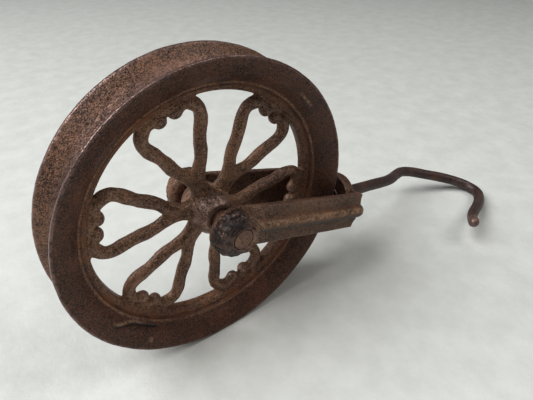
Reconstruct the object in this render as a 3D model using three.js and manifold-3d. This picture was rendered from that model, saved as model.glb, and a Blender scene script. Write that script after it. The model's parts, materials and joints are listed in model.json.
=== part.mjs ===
// A cast iron rope pulley with lyre-shaped spokes. The grooved wheel turns on a pin held in the
// ears of a U-shaped yoke, and a forged hook swivels in the yoke's crown. The part stands on the
// wheel's two flanges and on the bend of its hook.
// Millimetres and degrees. X runs from the wheel towards the hook, Y along the axle, Z up.
import * as THREE from 'three';
import { mergeVertices } from 'three/addons/utils/BufferGeometryUtils.js';
import Module from 'manifold-3d';

// ---- Driving dimensions ----

// Wheel
const WHEEL_RADIUS = 150; // out to the flange edges
const WHEEL_WIDTH = 50.7; // over both flange edges
const FLANGE_EDGE = 4; // thickness of a flange at its edge
const DISH_BAND = 26; // width of a flange's dished face, in from its edge
const DISH_DEPTH = 15; // how far the face has sunk there
const GROOVE_DEPTH = 19; // from the flange edges in to the rope groove's floor
const GROOVE_FLOOR = 9; // width of the groove's floor
const RING_THICKNESS = 15; // from the groove's floor in to the bore that the spokes meet
const RING_LAND = 10; // width of the ring's inner face
const HUB_WALL = 11.5; // round the pin
const HUB_LENGTH = 48;
const HUB_ROUND = 7; // rounding of the hub's ends

// Spokes
const SPOKES = 6;
const SPOKE_PHASE = 46; // of the first spoke, above the X axis
const ARM_WIDTH = 11.4; // across an arm, in the wheel's plane
const ARM_DEPTH = 12.4; // along the axle
const STEM_HALF = 3.2; // from a spoke's middle to each arm's centre line, at the hub
const BALL_RADIUS = 6.6; // of the curl at an arm's end
const BALL_SIDE = 7.8; // from a spoke's middle to a ball's centre
const BALL_INSET = 8.7; // from the ring's bore to a ball's centre

// Yoke
const PIN_RADIUS = 10;
const YOKE_SHIFT = -4.4; // the wheel's play on its pin, taken up towards the far ear
const STRAP_HEIGHT = 43;
const STRAP_THICKNESS = 7;
const SIDE_GAP = 7.25; // from each strap to the widest part of the wheel
const CROWN_CLEARANCE = 22; // from the flange edges to the crown's inner face
const CROWN_THICKNESS = 8;
const CROWN_SLOPE = 6; // how far the crown's top and bottom edges stand back
const RIB_HEIGHT = 13.5;
const RIB_RISE = 5.5;
const EAR_WALL = 14; // round the pin
const EAR_REACH = 24.5; // from a strap's inner face to its ear's end
const EYE_WALL = 18; // round the hole that the hook passes through
const EYE_THICKNESS = 14;
const EYE_STAND = 2; // how far the boss stands out of the crown's outer face
const EYE_PLAY = 2; // between the hook's bar and the hole, enough for the hook to lean

// Hook
const ROD_RADIUS = 8;
const SHANK_LENGTH = 129; // from the eye's middle to the first bend
const HOOK_YAW = 7; // how far the shank leans towards the far side
const HOOK_LIFT = 1.9; // and upwards, away from the yoke's own line
const HOOK_SWIVEL = 6; // turn about the shank that lowers the hook's open side
const WASHER_LAP = 5.5; // how far the washer covers the eye round its hole
const WASHER_THICKNESS = 3;
const HEAD_LAP = 4.5; // how far the riveted head stands out round the bar
const HEAD_HEIGHT = 6;
const TIP_SWELL = 0.6; // how far the blunt end stands out round the bar

// Clearances
const JOIN_GAP = 0.3; // between neighbouring pieces of one body
const RUNNING_GAP = 0.4; // radial, where a piece turns on another

// Facets
const WHEEL_SIDES = 72;
const ROUND_SIDES = 28;
const ROD_SIDES = 12;
const ARM_STEPS = 16;
const ROD_STEPS = 44;
const BALL_SIDES = 10;

// ---- Derived dimensions ----

const DISH_RADIUS = WHEEL_RADIUS - DISH_BAND;
const GROOVE_RADIUS = WHEEL_RADIUS - GROOVE_DEPTH;
const RING_BORE = GROOVE_RADIUS - RING_THICKNESS;
const HUB_RADIUS = PIN_RADIUS + HUB_WALL;
const EAR_RADIUS = PIN_RADIUS + EAR_WALL;
const YOKE_INSIDE = Math.max(WHEEL_WIDTH, HUB_LENGTH) + 2 * SIDE_GAP;
const EYE_BORE = ROD_RADIUS + EYE_PLAY;
const EYE_RADIUS = EYE_BORE + EYE_WALL;
const WASHER_RADIUS = EYE_BORE + WASHER_LAP;
const HEAD_RADIUS = ROD_RADIUS + HEAD_LAP;
const TIP_RADIUS = ROD_RADIUS + TIP_SWELL;
const CROWN_INNER = WHEEL_RADIUS + CROWN_CLEARANCE;
const CROWN_OUTER = CROWN_INNER + CROWN_THICKNESS;
const EYE_CENTRE = CROWN_OUTER + EYE_STAND - EYE_THICKNESS / 2;
const STRAP_INNER = YOKE_INSIDE / 2;
const STRAP_OUTER = STRAP_INNER + STRAP_THICKNESS;
const EAR_END = STRAP_INNER + EAR_REACH;
const HUB_BORE = PIN_RADIUS + RUNNING_GAP;

const TURNED_ROUND = [180, 0, 0]; // about X, which makes a far piece of a near one and back

const IRON = { metalness: 0.55, roughness: 0.72 };
const WHEEL_COLOUR = 0x4b372d;
const YOKE_COLOUR = 0x5a4334;
const PIN_COLOUR = 0x6a4c3c;
const HOOK_COLOUR = 0x46352e;

const wasm = await Module();
wasm.setup();

const radians = THREE.MathUtils.degToRad;

// ---- Solids ----

/** Turns a closed geometry into a solid: corners merged, empty faces dropped, faces outwards. */
function solid(geometry) {
  const bare = geometry.clone();
  bare.deleteAttribute('normal');
  bare.deleteAttribute('uv');
  const merged = mergeVertices(bare, 1e-4);
  const corner = new THREE.Vector3();
  const corners = Array.from({ length: merged.attributes.position.count }, (_, i) =>
    corner.fromBufferAttribute(merged.attributes.position, i).clone(),
  );
  const index = merged.index.array;
  const faces = [];
  let volume = 0;
  for (let i = 0; i < index.length; i += 3) {
    const [a, b, c] = index.slice(i, i + 3);
    if (a === b || b === c || c === a) continue;
    faces.push([a, b, c]);
    volume += corners[a].dot(corner.crossVectors(corners[b], corners[c]));
  }
  const outward = volume > 0 ? faces : faces.map(([a, b, c]) => [a, c, b]);
  return new wasm.Manifold(
    new wasm.Mesh({
      numProp: 3,
      vertProperties: new Float32Array(corners.flatMap((p) => p.toArray())),
      triVerts: new Uint32Array(outward.flat()),
    }),
  );
}

/** A named mesh of one solid. */
function piece(name, body, colour) {
  const { vertProperties, triVerts } = body.getMesh();
  const geometry = new THREE.BufferGeometry();
  geometry.setAttribute('position', new THREE.BufferAttribute(vertProperties, 3));
  geometry.setIndex(new THREE.BufferAttribute(triVerts, 1));
  geometry.computeVertexNormals();
  const mesh = new THREE.Mesh(geometry, new THREE.MeshStandardMaterial({ color: colour, ...IRON }));
  mesh.name = name;
  return mesh;
}

/** A solid turned about the Y axis from an outline of [radius, y] points. */
function turned(outline, sides) {
  const points = outline.map(([radius, y]) => new THREE.Vector2(radius, y));
  return solid(new THREE.LatheGeometry(points, sides));
}

/** A plain round bar along Y. */
function bar(radius, from, to, sides) {
  return turned([[0, from], [radius, from], [radius, to], [0, to]], sides);
}

/** A box given by its lowest and highest corners. */
function block(low, high) {
  const size = high.map((value, i) => value - low[i]);
  const box = new THREE.BoxGeometry(...size);
  box.translate(...low.map((value, i) => value + size[i] / 2));
  return solid(box);
}

/** A flat outline of [first, second] points, extruded from zero along its own third axis. */
function slab(outline, thickness) {
  const shape = new THREE.Shape(outline.map(([x, y]) => new THREE.Vector2(x, y)));
  return new THREE.ExtrudeGeometry(shape, { depth: thickness, bevelEnabled: false });
}

/** A section swept along a smooth curve through the given points. */
function swept(section, points, steps) {
  const shape = new THREE.Shape(section.map(([x, y]) => new THREE.Vector2(x, y)));
  const extrudePath = new THREE.CatmullRomCurve3(points, false, 'centripetal');
  return solid(new THREE.ExtrudeGeometry(shape, { steps, extrudePath }));
}

/** A ball. */
function ball(radius, x, y, z) {
  const sphere = new THREE.SphereGeometry(radius, BALL_SIDES, BALL_SIDES / 2 + 1);
  sphere.translate(x, y, z);
  return solid(sphere);
}

/** The outline of a circle, as points. */
function circle(radius, sides) {
  return Array.from({ length: sides }, (_, i) => {
    const angle = (2 * Math.PI * i) / sides;
    return [radius * Math.cos(angle), radius * Math.sin(angle)];
  });
}

// ---- Wheel ----

/** Mirrors half an outline of [radius, y] points to the far side and closes it. */
function mirrored(half) {
  return [...half, ...half.map(([radius, y]) => [radius, -y]).reverse(), half[0]];
}

/** Where a flange joins the ring: the foot of its dished face and the foot of the groove's wall. */
function flangeFoot() {
  return [
    [DISH_RADIUS, DISH_DEPTH - WHEEL_WIDTH / 2 - 0.6],
    [GROOVE_RADIUS + 3, -GROOVE_FLOOR / 2 - 2],
  ];
}

/** The ring: its narrow bore, which the spokes meet, and the round floor of the rope groove. */
function ring() {
  const land = RING_LAND / 2;
  const [dishFoot, wallFoot] = flangeFoot();
  const half = [
    [RING_BORE, -land],
    [RING_BORE + 1.5, -land - 2],
    [DISH_RADIUS - 2, dishFoot[1] + 1.2],
    dishFoot,
    wallFoot,
    [GROOVE_RADIUS, -GROOVE_FLOOR / 2 + 1.5],
  ];
  return turned(mirrored(half), WHEEL_SIDES);
}

/** The near flange: dished outside, sloping down to the groove inside. */
function flange() {
  const side = WHEEL_WIDTH / 2;
  const foot = flangeFoot();
  const slope = Math.atan2(foot[1][1] - foot[0][1], foot[1][0] - foot[0][0]);
  const clear = ([radius, y]) => [radius + JOIN_GAP * Math.sin(slope), y - JOIN_GAP * Math.cos(slope)];
  const outline = [
    clear(foot[0]),
    [WHEEL_RADIUS - 1.5, -side],
    [WHEEL_RADIUS, -side + 1.5],
    [WHEEL_RADIUS, -side + FLANGE_EDGE],
    clear(foot[1]),
    clear(foot[0]),
  ];
  return turned(outline, WHEEL_SIDES);
}

/** The hub: a barrel with rounded ends, bored for the pin. */
function hub() {
  const end = HUB_LENGTH / 2;
  const half = [
    [HUB_BORE, -end],
    [HUB_RADIUS - HUB_ROUND, -end],
    [HUB_RADIUS - HUB_ROUND * 0.3, -end + HUB_ROUND * 0.3],
    [HUB_RADIUS, -end + HUB_ROUND],
  ];
  return turned(mirrored(half), ROUND_SIDES);
}

/** Centre line of an arm: out of the hub, round the belly of the lyre and in to the ball. */
function armLine(side) {
  const ballOut = RING_BORE - BALL_INSET;
  const reach = (share) => HUB_RADIUS + share * (RING_BORE - HUB_RADIUS);
  const line = [
    [HUB_RADIUS - 4, STEM_HALF],
    [reach(0.153), STEM_HALF + 0.3],
    [reach(0.249), 6.6],
    [reach(0.333), 12],
    [reach(0.418), 15.4],
    [reach(0.513), 18.1],
    [reach(0.619), 22.2],
    [reach(0.725), 27.2],
    [reach(0.81), 28.1],
    [reach(0.884), 24.6],
    [ballOut + 2.2, 18],
    [ballOut, BALL_SIDE],
  ];
  return line.map(([out, across]) => new THREE.Vector3(out, 0, across * side));
}

/** One arm of a lyre, trimmed at the hub, at the ring and down the spoke's middle. */
function arm(side) {
  const [depth, width] = [ARM_DEPTH / 2, ARM_WIDTH / 2];
  const section = [
    [depth, -width * 0.4],
    [depth, width * 0.4],
    [depth * 0.55, width],
    [-depth * 0.55, width],
    [-depth, width * 0.4],
    [-depth, -width * 0.4],
    [-depth * 0.55, -width],
    [depth * 0.55, -width],
  ];
  const curl = ball(BALL_RADIUS, RING_BORE - BALL_INSET, 0, BALL_SIDE * side);
  const spaceOut = bar(RING_BORE - JOIN_GAP, -ARM_DEPTH, ARM_DEPTH, WHEEL_SIDES);
  const hubSpace = bar(HUB_RADIUS + JOIN_GAP, -ARM_DEPTH, ARM_DEPTH, ROUND_SIDES);
  const [near, far] = side > 0 ? [JOIN_GAP / 2, RING_BORE] : [-RING_BORE, -JOIN_GAP / 2];
  const half = block([0, -ARM_DEPTH, near], [RING_BORE, ARM_DEPTH, far]);
  return swept(section, armLine(side), ARM_STEPS)
    .add(curl)
    .intersect(spaceOut)
    .intersect(half)
    .subtract(hubSpace);
}

/** The whole wheel, which turns about Y. */
function wheel() {
  const group = new THREE.Group();
  group.add(piece('groove_ring', ring(), WHEEL_COLOUR));
  group.add(piece('near_flange', flange(), WHEEL_COLOUR));
  group.add(piece('far_flange', flange().rotate(TURNED_ROUND), WHEEL_COLOUR));
  group.add(piece('wheel_hub', hub(), WHEEL_COLOUR));
  const arms = { left: arm(1), right: arm(-1) };
  for (let spoke = 0; spoke < SPOKES; spoke += 1) {
    for (const [side, body] of Object.entries(arms)) {
      const mesh = piece(`spoke_${spoke + 1}_${side}_arm`, body, WHEEL_COLOUR);
      mesh.rotation.y = -radians(SPOKE_PHASE + (360 / SPOKES) * spoke);
      group.add(mesh);
    }
  }
  return group;
}

// ---- Yoke ----

/** A rib's section across its length: [height, rise] points from its foot up and over. */
function ribSection() {
  const half = RIB_HEIGHT / 2;
  return [[-half, 0], [-half * 0.7, RIB_RISE * 0.75], [0, RIB_RISE], [half * 0.7, RIB_RISE * 0.75], [half, 0]];
}

/** A leg of the yoke on the far side: a flat strap with a rib along its outer face. */
function leg() {
  const end = CROWN_INNER - JOIN_GAP;
  const strap = block([0, STRAP_INNER, -STRAP_HEIGHT / 2], [end, STRAP_OUTER, STRAP_HEIGHT / 2]);
  const foot = 1; // sinks the rib's foot into the strap
  const outline = [[-RIB_HEIGHT / 2, -foot], ...ribSection(), [RIB_HEIGHT / 2, -foot]];
  const rib = slab(outline, end);
  const frame = new THREE.Matrix4().makeBasis(
    new THREE.Vector3(0, 0, 1),
    new THREE.Vector3(0, 1, 0),
    new THREE.Vector3(-1, 0, 0),
  );
  rib.applyMatrix4(frame.setPosition(end, STRAP_OUTER, 0));
  const earSpace = bar(EAR_RADIUS + JOIN_GAP, 0, EAR_END + RIB_RISE, ROUND_SIDES);
  return strap.add(solid(rib)).subtract(earSpace);
}

/** The ear on the far side: a rough domed boss round the pin. */
function ear() {
  const bore = PIN_RADIUS + JOIN_GAP;
  return turned(
    [
      [bore, STRAP_INNER],
      [EAR_RADIUS - 4.5, STRAP_INNER],
      [EAR_RADIUS - 1, STRAP_INNER + 3.5],
      [EAR_RADIUS, STRAP_INNER + 6],
      [EAR_RADIUS, EAR_END - 9.5],
      [EAR_RADIUS - 3, EAR_END - 4.5],
      [EAR_RADIUS - 8, EAR_END - 1.5],
      [bore + 1.5, EAR_END],
      [bore, EAR_END],
      [bore, STRAP_INNER],
    ],
    ROUND_SIDES,
  );
}

/** The crown: the plate that joins the legs, its rib, and the round eye for the hook. */
function crown() {
  const half = STRAP_HEIGHT / 2;
  const side = [
    [CROWN_INNER, -half],
    [CROWN_OUTER - CROWN_SLOPE - 1, -half],
    [CROWN_OUTER, -half / 2],
    [CROWN_OUTER, half / 3],
    [CROWN_OUTER - CROWN_SLOPE, half],
    [CROWN_INNER, half],
  ];
  const plate = slab(side, 2 * STRAP_OUTER);
  plate.rotateX(Math.PI / 2);
  plate.translate(0, STRAP_OUTER, 0);
  const reach = CROWN_OUTER + RIB_RISE;
  const wide = STRAP_OUTER + RIB_RISE;
  const bevel = RIB_RISE * 0.7;
  const plan = [
    [CROWN_INNER, -wide],
    [reach - bevel, -wide],
    [reach, -wide + bevel],
    [reach, wide - bevel],
    [reach - bevel, wide],
    [CROWN_INNER, wide],
  ];
  const rib = slab(plan, RIB_HEIGHT * 0.85);
  rib.translate(0, 0, -RIB_HEIGHT * 0.425);
  const eye = bar(EYE_RADIUS, EYE_CENTRE - EYE_THICKNESS / 2, EYE_CENTRE + EYE_THICKNESS / 2, ROUND_SIDES);
  const bore = bar(EYE_BORE, 0, 2 * CROWN_OUTER, ROUND_SIDES);
  const alongX = [0, 0, -90];
  return solid(plate).add(solid(rib)).add(eye.rotate(alongX)).subtract(bore.rotate(alongX));
}

/** The yoke with its pin, built along its own X axis. */
function yoke() {
  const group = new THREE.Group();
  const pin = turned(
    [[0, -EAR_END], [PIN_RADIUS - 1, -EAR_END], [PIN_RADIUS, 1 - EAR_END],
      [PIN_RADIUS, EAR_END - 1], [PIN_RADIUS - 1, EAR_END], [0, EAR_END]],
    ROUND_SIDES,
  );
  group.add(piece('near_leg', leg().rotate(TURNED_ROUND), YOKE_COLOUR));
  group.add(piece('far_leg', leg(), YOKE_COLOUR));
  group.add(piece('near_ear_boss', ear().rotate(TURNED_ROUND), YOKE_COLOUR));
  group.add(piece('far_ear_boss', ear(), YOKE_COLOUR));
  group.add(piece('crown', crown(), YOKE_COLOUR));
  group.add(piece('axle_pin', pin, PIN_COLOUR));
  return group;
}

// ---- Hook ----

/** Centre line of the hook, from its riveted end: [along the shank, sideways] points. */
function hookLine() {
  const beyond = [
    [19, -2.6], [38, -7], [59, -10], [80, -5.5], [105, 8.5], [136, 28], [153, 44],
    [161, 60], [158, 75.5], [139, 87.5], [107, 98], [75, 105], [56, 110.5], [43, 118],
  ];
  const straight = [-headTop(), 0, SHANK_LENGTH / 3, (2 * SHANK_LENGTH) / 3, SHANK_LENGTH];
  const points = straight.map((along) => [along, 0]);
  points.push(...beyond.map(([along, across]) => [SHANK_LENGTH + along, across]));
  return points.map(([along, across]) => new THREE.Vector3(along, -across, 0));
}

/** How far inside the eye's middle the washer starts, clear of the eye as the shank leans. */
function washerStart() {
  const lean = radians(Math.hypot(HOOK_YAW, HOOK_LIFT));
  const rock = WASHER_RADIUS * Math.tan(lean);
  return (EYE_THICKNESS / 2) / Math.cos(lean) + rock + JOIN_GAP;
}

/** How far inside the eye's middle the shank ends, level with the foot of its riveted head. */
function headTop() {
  return washerStart() + WASHER_THICKNESS + JOIN_GAP;
}

/** The hook with its washer and riveted head, built along its own X axis. */
function hook() {
  const group = new THREE.Group();
  const line = hookLine();
  const rod = swept(circle(ROD_RADIUS, ROD_SIDES), line, ROD_STEPS);
  const tip = line.at(-1);
  group.add(piece('hook_rod', rod.add(ball(TIP_RADIUS, tip.x, tip.y, tip.z)), HOOK_COLOUR));
  const alongX = [0, 0, 90];
  const bore = ROD_RADIUS + RUNNING_GAP;
  const start = washerStart();
  const washer = turned(
    [[bore, start], [WASHER_RADIUS, start], [WASHER_RADIUS, start + WASHER_THICKNESS],
      [bore, start + WASHER_THICKNESS], [bore, start]],
    ROUND_SIDES,
  );
  const foot = headTop() + JOIN_GAP;
  const head = turned(
    [[0, foot], [HEAD_RADIUS, foot], [HEAD_RADIUS - 1, foot + HEAD_HEIGHT * 0.45],
      [HEAD_RADIUS * 0.6, foot + HEAD_HEIGHT * 0.9], [0, foot + HEAD_HEIGHT]],
    ROUND_SIDES,
  );
  group.add(piece('swivel_washer', washer.rotate(alongX), HOOK_COLOUR));
  group.add(piece('rivet_head', head.rotate(alongX), HOOK_COLOUR));
  group.position.set(EYE_CENTRE, 0, 0);
  group.rotation.set(radians(HOOK_SWIVEL), -radians(HOOK_LIFT), radians(HOOK_YAW), 'YZX');
  return group;
}

// ---- The whole pulley, at rest ----

/** Slope of the yoke at which the hook's bend meets the floor that the flanges stand on. */
function restingSlope(hookGroup) {
  const line = new THREE.CatmullRomCurve3(hookLine(), false, 'centripetal').getSpacedPoints(200);
  hookGroup.updateMatrix();
  const points = line.map((point) => point.applyMatrix4(hookGroup.matrix));
  const lowest = (slope) => {
    const [down, level] = [Math.sin(slope), Math.cos(slope)];
    return Math.min(...points.map((point) => point.z * level - point.x * down)) - ROD_RADIUS;
  };
  let [flat, steep] = [0, Math.PI / 3];
  for (let i = 0; i < 40; i += 1) {
    const middle = (flat + steep) / 2;
    if (lowest(middle) > -WHEEL_RADIUS) flat = middle;
    else steep = middle;
  }
  return flat;
}

const hookGroup = hook();
const yokeGroup = yoke();
yokeGroup.add(hookGroup);
yokeGroup.position.y = YOKE_SHIFT;
yokeGroup.rotation.y = restingSlope(hookGroup);

const pulley = new THREE.Group();
pulley.add(wheel());
pulley.add(yokeGroup);

// The origin is on the floor, under the middle of the part's box.
const box = new THREE.Box3().setFromObject(pulley, true);
const middle = box.getCenter(new THREE.Vector3());
pulley.position.set(-middle.x, -middle.y, -box.min.z);

export default pulley;
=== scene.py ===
"""A cast iron rope pulley with lyre-shaped spokes, a U-shaped yoke and a swivelling forged hook.

Each sub-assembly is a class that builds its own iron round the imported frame: Wheel, Yoke, AxlePin and
Hook. Sizes are in millimetres in each part's own frame and turned into metres as a mesh is made.
"""

import json
import logging
import math
from collections.abc import Sequence
from dataclasses import dataclass, field
from enum import Enum
from itertools import product

import bpy
import numpy as np
from mathutils import Matrix, Vector


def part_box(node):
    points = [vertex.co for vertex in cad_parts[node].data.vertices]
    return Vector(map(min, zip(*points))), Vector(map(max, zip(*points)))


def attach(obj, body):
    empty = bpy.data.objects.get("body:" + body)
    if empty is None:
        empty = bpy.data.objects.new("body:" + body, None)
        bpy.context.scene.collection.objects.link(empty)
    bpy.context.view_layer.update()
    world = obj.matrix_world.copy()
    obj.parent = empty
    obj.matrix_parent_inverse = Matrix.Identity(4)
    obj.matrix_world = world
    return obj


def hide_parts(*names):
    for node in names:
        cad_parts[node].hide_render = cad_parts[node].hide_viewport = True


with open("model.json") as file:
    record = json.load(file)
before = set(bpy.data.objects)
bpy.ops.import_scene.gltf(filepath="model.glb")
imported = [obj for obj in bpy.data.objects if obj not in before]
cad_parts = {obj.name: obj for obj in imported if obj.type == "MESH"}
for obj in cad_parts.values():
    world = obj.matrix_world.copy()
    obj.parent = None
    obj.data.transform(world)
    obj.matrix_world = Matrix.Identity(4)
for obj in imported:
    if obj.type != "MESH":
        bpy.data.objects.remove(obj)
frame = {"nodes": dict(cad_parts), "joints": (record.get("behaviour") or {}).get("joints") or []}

logging.basicConfig(level=logging.INFO, format="%(message)s")
log = logging.getLogger("pulley")

MM = 0.001
Array = np.ndarray
Colour = tuple[float, float, float]
Outline = list[tuple[float, float]]

HASH_STRIDES = np.array([73856093, 19349663, 83492791])
HASH_SEED = 2654435761
HASH_STIR = 1274126177
HALF_WORD = 0xFFFF
WHOLE_WORD = 0xFFFFFFFF
COAT_COLOURS = ("dark", "brown", "pale", "bloom", "bare", "ochre", "grease")


class Side(Enum):
    """The two sides of the wheel, as signs along the axle."""

    NEAR = -1
    FAR = 1


class Mark(Enum):
    """What a mesh stores at each vertex for its finish to read, from 0 to 1."""

    # Worn edges, and painted sheen in the rope groove and on the hub's ends.
    WORN = "worn"
    HOLLOW = "hollow"
    # Clay, and a painted highlight on the rib's upper half.
    OCHRE = "ochre"
    # Grease, and painted shade under the rib and in the gouge.
    GREASE = "grease"
    # Scars, and a painted highlight on the gouge's lip.
    SCAR = "scar"
    # Paler rust, and painted light on the spokes, the hub, the far flange's groove side and the legs near the ears.
    PALE = "pale"


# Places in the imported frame


def rigid(origin: Sequence[float], along: Sequence[float], up: Sequence[float]) -> Matrix:
    """Makes the frame that a sub-assembly is built in.

    Args:
        origin: The frame's origin, in metres.
        along: Direction of its X axis.
        up: Rough direction of its Z axis, made square to X.

    Returns:
        A matrix from the frame's metres to the row's.
    """
    x = Vector(along).normalized()
    y = Vector(up).cross(x).normalized()
    z = x.cross(y)
    turn = Matrix((x, y, z)).transposed().to_4x4()
    return Matrix.Translation(Vector(origin)) @ turn


def joint(name: str) -> dict:
    """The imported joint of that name."""
    return next(item for item in frame["joints"] if item["name"] == name)


def node_points(name: str) -> Array:
    """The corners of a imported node, in metres."""
    return np.array([vertex.co for vertex in frame["nodes"][name].data.vertices])


def wheel_frame() -> Matrix:
    """The wheel's frame: its centre, X level towards the hook, Y along the axle away from the near side."""
    return Matrix.Translation(Vector(joint("wheel_spin")["pos_m"]))


def yoke_frame() -> Matrix:
    """The yoke's frame: on the axle midway between the ears, with X towards the hook's eye."""
    low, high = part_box("axle_pin")
    origin = (low + high) / 2
    eye = Vector(joint("hook_swivel")["pos_m"])
    return rigid(origin, eye - origin, Vector((0, 0, 1)))


def hook_frame() -> Matrix:
    """The hook's frame: in the eye, X along the shank, and Z square to the plane that the bar lies in."""
    swivel = joint("hook_swivel")
    points = node_points("hook_rod")
    flat = np.linalg.svd(points - points.mean(0), full_matrices=False)[2][2]
    return rigid(swivel["pos_m"], swivel["axis"], flat * math.copysign(1.0, flat[2]))


# Noise and smoothing


def lattice_noise(points: Array, seed: int) -> Array:
    """Smooth gradient noise in space.

    Args:
        points: Positions in units of the noise's wavelength, one row each.
        seed: Picks the pattern.

    Returns:
        One value for each point, about -0.7 to 0.7.
    """
    cell = np.floor(points).astype(np.int64)
    inside = points - cell
    fade = inside**3 * (inside * (inside * 6 - 15) + 10)
    total = np.zeros(len(points))
    for corner in product((0, 1), repeat=3):
        step = np.array(corner)
        mixed = (cell + step) @ HASH_STRIDES + seed * HASH_SEED
        mixed = (mixed ^ (mixed >> 13)) * HASH_STIR & WHOLE_WORD
        turn = (mixed & HALF_WORD) / HALF_WORD * 2 * math.pi
        height = (mixed >> 16) / HALF_WORD * 2 - 1
        flat = np.sqrt(1 - height**2)
        gradient = np.stack([flat * np.cos(turn), flat * np.sin(turn), height], axis=1)
        weight = np.prod(np.where(step, fade, 1 - fade), axis=1)
        total += weight * ((inside - step) * gradient).sum(1)
    return total


def layered_noise(points: Array, wavelength: float, seed: int, layers: int = 3) -> Array:
    """Noise in several layers, each at half the wavelength and half the strength of the last.

    Args:
        points: Positions, in the same unit as the wavelength.
        wavelength: Of the coarsest layer.
        seed: Picks the pattern.
        layers: How many layers are added.

    Returns:
        One value for each point, about -1 to 1.
    """
    total = np.zeros(len(points))
    for layer in range(layers):
        scale = 2.0**layer
        total += lattice_noise(points * scale / wavelength, seed + layer) / scale
    return total


def ramp(values: Array, low: float, high: float) -> Array:
    """Rises smoothly from 0 at low to 1 at high, which may be the smaller of the two."""
    share = np.clip((values - low) / (high - low), 0, 1)
    return share * share * (3 - 2 * share)


def off_axis(points: Array) -> Array:
    """How far points are from the Y axis."""
    return np.hypot(points[:, 0], points[:, 2])


# Shells


@dataclass
class Shell:
    """A closed surface, in millimetres.

    Attributes:
        points: Its corners, one row each.
        faces: Its faces, each a tuple of corner numbers.
    """

    points: Array
    faces: list[tuple[int, ...]]

    def joined(self, *others: "Shell") -> "Shell":
        """This shell and others as one, still overlapping where they cross."""
        points, faces = [self.points], list(self.faces)
        start = len(self.points)
        for other in others:
            points.append(other.points)
            faces += [tuple(corner + start for corner in face) for face in other.faces]
            start += len(other.points)
        return Shell(np.concatenate(points), faces)

    def outward(self) -> "Shell":
        """This shell with its faces turned to look out of it."""
        middle = self.points.mean(0)
        volume = 0.0
        for face in self.faces:
            first, *others = self.points[list(face)] - middle
            for second, third in zip(others, others[1:]):
                volume += float(first @ np.cross(second, third))
        if volume >= 0:
            return self
        return Shell(self.points, [tuple(reversed(face)) for face in self.faces])

    def moved(self, turn: Matrix) -> "Shell":
        """This shell turned and moved by a matrix whose offsets are in millimetres."""
        matrix = np.array(turn)
        return Shell(self.points @ matrix[:3, :3].T + matrix[:3, 3], self.faces)

    @staticmethod
    def taken_from(mesh: bpy.types.Mesh) -> "Shell":
        """The shell of a Blender mesh, which is removed."""
        points = np.array([vertex.co for vertex in mesh.vertices])
        faces = [tuple(face.vertices) for face in mesh.polygons]
        bpy.data.meshes.remove(mesh)
        return Shell(points, faces)

    def mesh(self, name: str) -> bpy.types.Mesh:
        """A Blender mesh of this shell, still in millimetres."""
        mesh = bpy.data.meshes.new(name)
        mesh.from_pydata(self.points.tolist(), [], self.faces)
        mesh.validate()
        return mesh


def lofted(rings: Array, closed: bool = False) -> Shell:
    """Skins a row of rings with as many corners each.

    Args:
        rings: Ring by ring, corner by corner, the points.
        closed: Whether the last ring joins the first. Otherwise both ends get a flat cap.

    Returns:
        The closed shell.
    """
    count, sides, _ = rings.shape
    faces: list[tuple[int, ...]] = []
    for ring in range(count if closed else count - 1):
        here, there = ring * sides, (ring + 1) % count * sides
        for side in range(sides):
            beside = (side + 1) % sides
            faces.append((here + side, here + beside, there + beside, there + side))
    if not closed:
        faces.append(tuple(reversed(range(sides))))
        faces.append(tuple(range((count - 1) * sides, count * sides)))
    return Shell(rings.reshape(-1, 3), faces).outward()


def turned(outline: Outline, sides: int) -> Shell:
    """Turns a closed outline of (radius, y) points about the Y axis.

    Args:
        outline: The section, which doesn't touch the axis.
        sides: How many copies of it go round.

    Returns:
        The closed shell.
    """
    radius, along = np.array(outline).T
    angles = np.arange(sides) * 2 * math.pi / sides
    across, up = np.outer(np.cos(angles), radius), np.outer(np.sin(angles), radius)
    return lofted(np.stack([across, np.tile(along, (sides, 1)), up], axis=2), closed=True)


def round_bar(stations: Sequence[tuple[float, float]], sides: int) -> Shell:
    """Makes a round bar along Y, with a flat cap at each end.

    Args:
        stations: The bar's (radius, y) along its length.
        sides: Corners of its section.

    Returns:
        The closed shell.
    """
    angles = np.arange(sides) * 2 * math.pi / sides
    section = np.stack([np.cos(angles), np.zeros(sides), -np.sin(angles)], axis=1)
    return lofted(np.array([radius * section + np.array([0, y, 0]) for radius, y in stations]))


def rounded(outline: Outline, radii: Sequence[float], step: float = 1.0) -> Outline:
    """Rounds the corners of a closed outline and spaces its points evenly.

    Args:
        outline: The corners.
        radii: The rounding at each corner.
        step: The longest spacing between points that is wanted.

    Returns:
        The points of the rounded outline.
    """
    corners = [np.array(corner, float) for corner in outline]
    count = len(corners)
    made: list[Array] = []
    for index, corner in enumerate(corners):
        before = corners[index - 1] - corner
        after = corners[(index + 1) % count] - corner
        reach_before, reach_after = np.linalg.norm(before), np.linalg.norm(after)
        before, after = before / reach_before, after / reach_after
        half = math.acos(max(-1.0, min(1.0, float(before @ after)))) / 2
        cut = min(radii[index] / math.tan(half), reach_before * 0.49, reach_after * 0.49)
        start, end = corner + before * cut, corner + after * cut
        bends = max(2, int(cut * 2 / step) + 2)
        for share in np.linspace(0, 1, bends):
            made.append((1 - share) ** 2 * start + 2 * share * (1 - share) * corner + share**2 * end)
    filled: list[tuple[float, float]] = []
    for index, here in enumerate(made):
        there = made[(index + 1) % len(made)]
        pieces = max(1, round(float(np.linalg.norm(there - here)) / step))
        for piece in range(pieces):
            filled.append(tuple(here + (there - here) * piece / pieces))
    return filled


def rounded_section(corners: Sequence[tuple[tuple[float, float], float]], step: float) -> Outline:
    """The rounded outline of corners that each come with their own rounding."""
    return rounded([corner for corner, _ in corners], [fillet for _, fillet in corners], step)


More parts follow.
